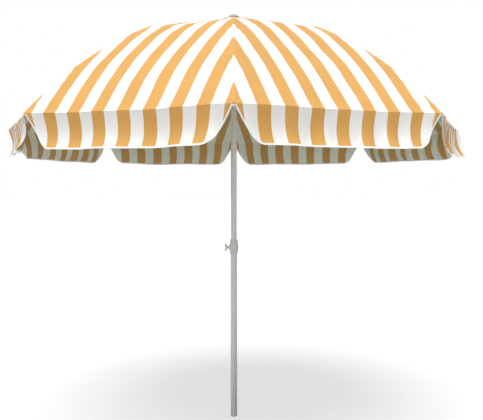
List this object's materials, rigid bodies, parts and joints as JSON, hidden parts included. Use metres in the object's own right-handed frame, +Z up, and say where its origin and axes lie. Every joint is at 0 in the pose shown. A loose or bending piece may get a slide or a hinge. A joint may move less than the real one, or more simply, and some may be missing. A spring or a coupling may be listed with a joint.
{
  "type": "beach umbrella",
  "caption": "Octagonal beach umbrella with a striped canopy and hanging valance on folding ribs, a telescopic pole and a height collar with a wing screw.",
  "frame": {"origin": "centre of the foot face, on the pole's axis", "axes": "+Z up along the pole; rib 1 points along -Y; the wing screw points along -X"},
  "size_m": [2.3006, 2.3006, 2.068],
  "materials": {
    "pole_paint": "satin",
    "grey_plastic": "satin moulded",
    "plated_steel": "plated",
    "cream_plastic": "satin",
    "striped_cloth": "plain weave with wide orange and white stripes",
    "valance_cloth": "plain weave with orange and white stripes and a white binding"
  },
  "bodies": {
    "root": {"foot_plug": "grey_plastic", "lower_tube": "pole_paint", "height_collar": "grey_plastic", "clamp_nut": "plated_steel"},
    "clamp_screw": {"clamp_screw": "grey_plastic"},
    "upper_pole": {"upper_tube": "pole_paint", "guide_bush": "grey_plastic", "crown_hub": "grey_plastic", "crown_ring": "plated_steel", "crown_cap": "grey_plastic"},
    "runner": {"runner": "grey_plastic"},
    "runner_button": {"runner_button": "plated_steel"},
    "rib_inner_1": {"rib_inner_1": "plated_steel"},
    "rib_outer_1": {"rib_outer_1": "plated_steel", "rib_tip_1": "cream_plastic", "canopy_panel_1": "striped_cloth"},
    "stretcher_1": {"stretcher_1": "plated_steel"},
    "valance_flap_1": {"valance_flap_1": "valance_cloth"},
    "rib_inner_2": {"rib_inner_2": "plated_steel"},
    "rib_outer_2": {"rib_outer_2": "plated_steel", "rib_tip_2": "cream_plastic", "canopy_panel_2": "striped_cloth"},
    "stretcher_2": {"stretcher_2": "plated_steel"},
    "valance_flap_2": {"valance_flap_2": "valance_cloth"},
    "rib_inner_3": {"rib_inner_3": "plated_steel"},
    "rib_outer_3": {"rib_outer_3": "plated_steel", "rib_tip_3": "cream_plastic", "canopy_panel_3": "striped_cloth"},
    "stretcher_3": {"stretcher_3": "plated_steel"},
    "valance_flap_3": {"valance_flap_3": "valance_cloth"},
    "rib_inner_4": {"rib_inner_4": "plated_steel"},
    "rib_outer_4": {"rib_outer_4": "plated_steel", "rib_tip_4": "cream_plastic", "canopy_panel_4": "striped_cloth"},
    "stretcher_4": {"stretcher_4": "plated_steel"},
    "valance_flap_4": {"valance_flap_4": "valance_cloth"},
    "rib_inner_5": {"rib_inner_5": "plated_steel"},
    "rib_outer_5": {"rib_outer_5": "plated_steel", "rib_tip_5": "cream_plastic", "canopy_panel_5": "striped_cloth"},
    "stretcher_5": {"stretcher_5": "plated_steel"},
    "valance_flap_5": {"valance_flap_5": "valance_cloth"},
    "rib_inner_6": {"rib_inner_6": "plated_steel"},
    "rib_outer_6": {"rib_outer_6": "plated_steel", "rib_tip_6": "cream_plastic", "canopy_panel_6": "striped_cloth"},
    "stretcher_6": {"stretcher_6": "plated_steel"},
    "valance_flap_6": {"valance_flap_6": "valance_cloth"},
    "rib_inner_7": {"rib_inner_7": "plated_steel"},
    "rib_outer_7": {"rib_outer_7": "plated_steel", "rib_tip_7": "cream_plastic", "canopy_panel_7": "striped_cloth"},
    "stretcher_7": {"stretcher_7": "plated_steel"},
    "valance_flap_7": {"valance_flap_7": "valance_cloth"},
    "rib_inner_8": {"rib_inner_8": "plated_steel"},
    "rib_outer_8": {"rib_outer_8": "plated_steel", "rib_tip_8": "cream_plastic", "canopy_panel_8": "striped_cloth"},
    "stretcher_8": {"stretcher_8": "plated_steel"},
    "valance_flap_8": {"valance_flap_8": "valance_cloth"}
  },
  "joints": [
    {"name": "pole_height", "type": "slide", "parent": "root", "child": "upper_pole", "axis": [0, 0, 1], "range_m": [0, 0.3]},
    {"name": "clamp_screw_turn", "type": "hinge", "parent": "root", "child": "clamp_screw", "pos_m": [-0.03, 0, 0.88], "axis": [-1, 0, 0], "range_deg": [0, 360]},
    {"name": "runner_slide", "type": "slide", "parent": "upper_pole", "child": "runner", "axis": [0, 0, -1], "range_m": [0, 0.76849], "deforming": ["canopy_panel_1", "canopy_panel_2", "canopy_panel_3", "canopy_panel_4", "canopy_panel_5", "canopy_panel_6", "canopy_panel_7", "canopy_panel_8", "valance_flap_1", "valance_flap_2", "valance_flap_3", "valance_flap_4", "valance_flap_5", "valance_flap_6", "valance_flap_7", "valance_flap_8"]},
    {"name": "button_press", "type": "slide", "parent": "runner", "child": "runner_button", "axis": [-0.3827, 0.9239, 0], "range_m": [0, 0.0028], "stiffness_N_per_m": 600, "springref_m": -0.002},
    {"name": "rib_fold_1", "type": "hinge", "parent": "upper_pole", "child": "rib_inner_1", "pos_m": [0, -0.028, 2.032], "axis": [1, 0, 0], "range_deg": [0, 71.6]},
    {"name": "rib_flex_1", "type": "hinge", "parent": "rib_inner_1", "child": "rib_outer_1", "pos_m": [0, -0.53296, 1.90909], "axis": [1, 0, 0], "range_deg": [-16.85, 0]},
    {"name": "stretcher_fold_1", "type": "hinge", "parent": "rib_inner_1", "child": "stretcher_1", "pos_m": [0, -0.53012, 1.89743], "axis": [1, 0, 0], "range_deg": [-143, 0]},
    {"name": "valance_hang_1", "type": "hinge", "parent": "rib_outer_1", "child": "valance_flap_1", "pos_m": [0, -1.14392, 1.4741], "axis": [1, 0, 0], "range_deg": [-54.95, 0]},
    {"name": "rib_fold_2", "type": "hinge", "parent": "upper_pole", "child": "rib_inner_2", "pos_m": [0.0198, -0.0198, 2.032], "axis": [0.7071, 0.7071, 0], "range_deg": [0, 71.6]},
    {"name": "rib_flex_2", "type": "hinge", "parent": "rib_inner_2", "child": "rib_outer_2", "pos_m": [0.37686, -0.37686, 1.90909], "axis": [0.7071, 0.7071, 0], "range_deg": [-16.85, 0]},
    {"name": "stretcher_fold_2", "type": "hinge", "parent": "rib_inner_2", "child": "stretcher_2", "pos_m": [0.37485, -0.37485, 1.89743], "axis": [0.7071, 0.7071, 0], "range_deg": [-143, 0]},
    {"name": "valance_hang_2", "type": "hinge", "parent": "rib_outer_2", "child": "valance_flap_2", "pos_m": [0.80888, -0.80888, 1.4741], "axis": [0.7071, 0.7071, 0], "range_deg": [-54.95, 0]},
    {"name": "rib_fold_3", "type": "hinge", "parent": "upper_pole", "child": "rib_inner_3", "pos_m": [0.028, 0, 2.032], "axis": [0, 1, 0], "range_deg": [0, 71.6]},
    {"name": "rib_flex_3", "type": "hinge", "parent": "rib_inner_3", "child": "rib_outer_3", "pos_m": [0.53296, 0, 1.90909], "axis": [0, 1, 0], "range_deg": [-16.85, 0]},
    {"name": "stretcher_fold_3", "type": "hinge", "parent": "rib_inner_3", "child": "stretcher_3", "pos_m": [0.53012, 0, 1.89743], "axis": [0, 1, 0], "range_deg": [-143, 0]},
    {"name": "valance_hang_3", "type": "hinge", "parent": "rib_outer_3", "child": "valance_flap_3", "pos_m": [1.14392, 0, 1.4741], "axis": [0, 1, 0], "range_deg": [-54.95, 0]},
    {"name": "rib_fold_4", "type": "hinge", "parent": "upper_pole", "child": "rib_inner_4", "pos_m": [0.0198, 0.0198, 2.032], "axis": [-0.7071, 0.7071, 0], "range_deg": [0, 71.6]},
    {"name": "rib_flex_4", "type": "hinge", "parent": "rib_inner_4", "child": "rib_outer_4", "pos_m": [0.37686, 0.37686, 1.90909], "axis": [-0.7071, 0.7071, 0], "range_deg": [-16.85, 0]},
    {"name": "stretcher_fold_4", "type": "hinge", "parent": "rib_inner_4", "child": "stretcher_4", "pos_m": [0.37485, 0.37485, 1.89743], "axis": [-0.7071, 0.7071, 0], "range_deg": [-143, 0]},
    {"name": "valance_hang_4", "type": "hinge", "parent": "rib_outer_4", "child": "valance_flap_4", "pos_m": [0.80888, 0.80888, 1.4741], "axis": [-0.7071, 0.7071, 0], "range_deg": [-54.95, 0]},
    {"name": "rib_fold_5", "type": "hinge", "parent": "upper_pole", "child": "rib_inner_5", "pos_m": [0, 0.028, 2.032], "axis": [-1, 0, 0], "range_deg": [0, 71.6]},
    {"name": "rib_flex_5", "type": "hinge", "parent": "rib_inner_5", "child": "rib_outer_5", "pos_m": [0, 0.53296, 1.90909], "axis": [-1, 0, 0], "range_deg": [-16.85, 0]},
    {"name": "stretcher_fold_5", "type": "hinge", "parent": "rib_inner_5", "child": "stretcher_5", "pos_m": [0, 0.53012, 1.89743], "axis": [-1, 0, 0], "range_deg": [-143, 0]},
    {"name": "valance_hang_5", "type": "hinge", "parent": "rib_outer_5", "child": "valance_flap_5", "pos_m": [0, 1.14392, 1.4741], "axis": [-1, 0, 0], "range_deg": [-54.95, 0]},
    {"name": "rib_fold_6", "type": "hinge", "parent": "upper_pole", "child": "rib_inner_6", "pos_m": [-0.0198, 0.0198, 2.032], "axis": [-0.7071, -0.7071, 0], "range_deg": [0, 71.6]},
    {"name": "rib_flex_6", "type": "hinge", "parent": "rib_inner_6", "child": "rib_outer_6", "pos_m": [-0.37686, 0.37686, 1.90909], "axis": [-0.7071, -0.7071, 0], "range_deg": [-16.85, 0]},
    {"name": "stretcher_fold_6", "type": "hinge", "parent": "rib_inner_6", "child": "stretcher_6", "pos_m": [-0.37485, 0.37485, 1.89743], "axis": [-0.7071, -0.7071, 0], "range_deg": [-143, 0]},
    {"name": "valance_hang_6", "type": "hinge", "parent": "rib_outer_6", "child": "valance_flap_6", "pos_m": [-0.80888, 0.80888, 1.4741], "axis": [-0.7071, -0.7071, 0], "range_deg": [-54.95, 0]},
    {"name": "rib_fold_7", "type": "hinge", "parent": "upper_pole", "child": "rib_inner_7", "pos_m": [-0.028, 0, 2.032], "axis": [0, -1, 0], "range_deg": [0, 71.6]},
    {"name": "rib_flex_7", "type": "hinge", "parent": "rib_inner_7", "child": "rib_outer_7", "pos_m": [-0.53296, 0, 1.90909], "axis": [0, -1, 0], "range_deg": [-16.85, 0]},
    {"name": "stretcher_fold_7", "type": "hinge", "parent": "rib_inner_7", "child": "stretcher_7", "pos_m": [-0.53012, 0, 1.89743], "axis": [0, -1, 0], "range_deg": [-143, 0]},
    {"name": "valance_hang_7", "type": "hinge", "parent": "rib_outer_7", "child": "valance_flap_7", "pos_m": [-1.14392, 0, 1.4741], "axis": [0, -1, 0], "range_deg": [-54.95, 0]},
    {"name": "rib_fold_8", "type": "hinge", "parent": "upper_pole", "child": "rib_inner_8", "pos_m": [-0.0198, -0.0198, 2.032], "axis": [0.7071, -0.7071, 0], "range_deg": [0, 71.6]},
    {"name": "rib_flex_8", "type": "hinge", "parent": "rib_inner_8", "child": "rib_outer_8", "pos_m": [-0.37686, -0.37686, 1.90909], "axis": [0.7071, -0.7071, 0], "range_deg": [-16.85, 0]},
    {"name": "stretcher_fold_8", "type": "hinge", "parent": "rib_inner_8", "child": "stretcher_8", "pos_m": [-0.37485, -0.37485, 1.89743], "axis": [0.7071, -0.7071, 0], "range_deg": [-143, 0]},
    {"name": "valance_hang_8", "type": "hinge", "parent": "rib_outer_8", "child": "valance_flap_8", "pos_m": [-0.80888, -0.80888, 1.4741], "axis": [0.7071, -0.7071, 0], "range_deg": [-54.95, 0]}
  ],
  "couplings": [
    {"joint": "rib_fold_1", "follows": "runner_slide", "rad_per_m": 1.6216},
    {"joint": "rib_flex_1", "follows": "runner_slide", "rad_per_m": -0.37814},
    {"joint": "stretcher_fold_1", "follows": "runner_slide", "rad_per_m": -3.2432},
    {"joint": "valance_hang_1", "follows": "runner_slide", "rad_per_m": -1.2434},
    {"joint": "rib_fold_2", "follows": "runner_slide", "rad_per_m": 1.6216},
    {"joint": "rib_flex_2", "follows": "runner_slide", "rad_per_m": -0.37814},
    {"joint": "stretcher_fold_2", "follows": "runner_slide", "rad_per_m": -3.2432},
    {"joint": "valance_hang_2", "follows": "runner_slide", "rad_per_m": -1.2434},
    {"joint": "rib_fold_3", "follows": "runner_slide", "rad_per_m": 1.6216},
    {"joint": "rib_flex_3", "follows": "runner_slide", "rad_per_m": -0.37814},
    {"joint": "stretcher_fold_3", "follows": "runner_slide", "rad_per_m": -3.2432},
    {"joint": "valance_hang_3", "follows": "runner_slide", "rad_per_m": -1.2434},
    {"joint": "rib_fold_4", "follows": "runner_slide", "rad_per_m": 1.6216},
    {"joint": "rib_flex_4", "follows": "runner_slide", "rad_per_m": -0.37814},
    {"joint": "stretcher_fold_4", "follows": "runner_slide", "rad_per_m": -3.2432},
    {"joint": "valance_hang_4", "follows": "runner_slide", "rad_per_m": -1.2434},
    {"joint": "rib_fold_5", "follows": "runner_slide", "rad_per_m": 1.6216},
    {"joint": "rib_flex_5", "follows": "runner_slide", "rad_per_m": -0.37814},
    {"joint": "stretcher_fold_5", "follows": "runner_slide", "rad_per_m": -3.2432},
    {"joint": "valance_hang_5", "follows": "runner_slide", "rad_per_m": -1.2434},
    {"joint": "rib_fold_6", "follows": "runner_slide", "rad_per_m": 1.6216},
    {"joint": "rib_flex_6", "follows": "runner_slide", "rad_per_m": -0.37814},
    {"joint": "stretcher_fold_6", "follows": "runner_slide", "rad_per_m": -3.2432},
    {"joint": "valance_hang_6", "follows": "runner_slide", "rad_per_m": -1.2434},
    {"joint": "rib_fold_7", "follows": "runner_slide", "rad_per_m": 1.6216},
    {"joint": "rib_flex_7", "follows": "runner_slide", "rad_per_m": -0.37814},
    {"joint": "stretcher_fold_7", "follows": "runner_slide", "rad_per_m": -3.2432},
    {"joint": "valance_hang_7", "follows": "runner_slide", "rad_per_m": -1.2434},
    {"joint": "rib_fold_8", "follows": "runner_slide", "rad_per_m": 1.6216},
    {"joint": "rib_flex_8", "follows": "runner_slide", "rad_per_m": -0.37814},
    {"joint": "stretcher_fold_8", "follows": "runner_slide", "rad_per_m": -3.2432},
    {"joint": "valance_hang_8", "follows": "runner_slide", "rad_per_m": -1.2434}
  ]
}
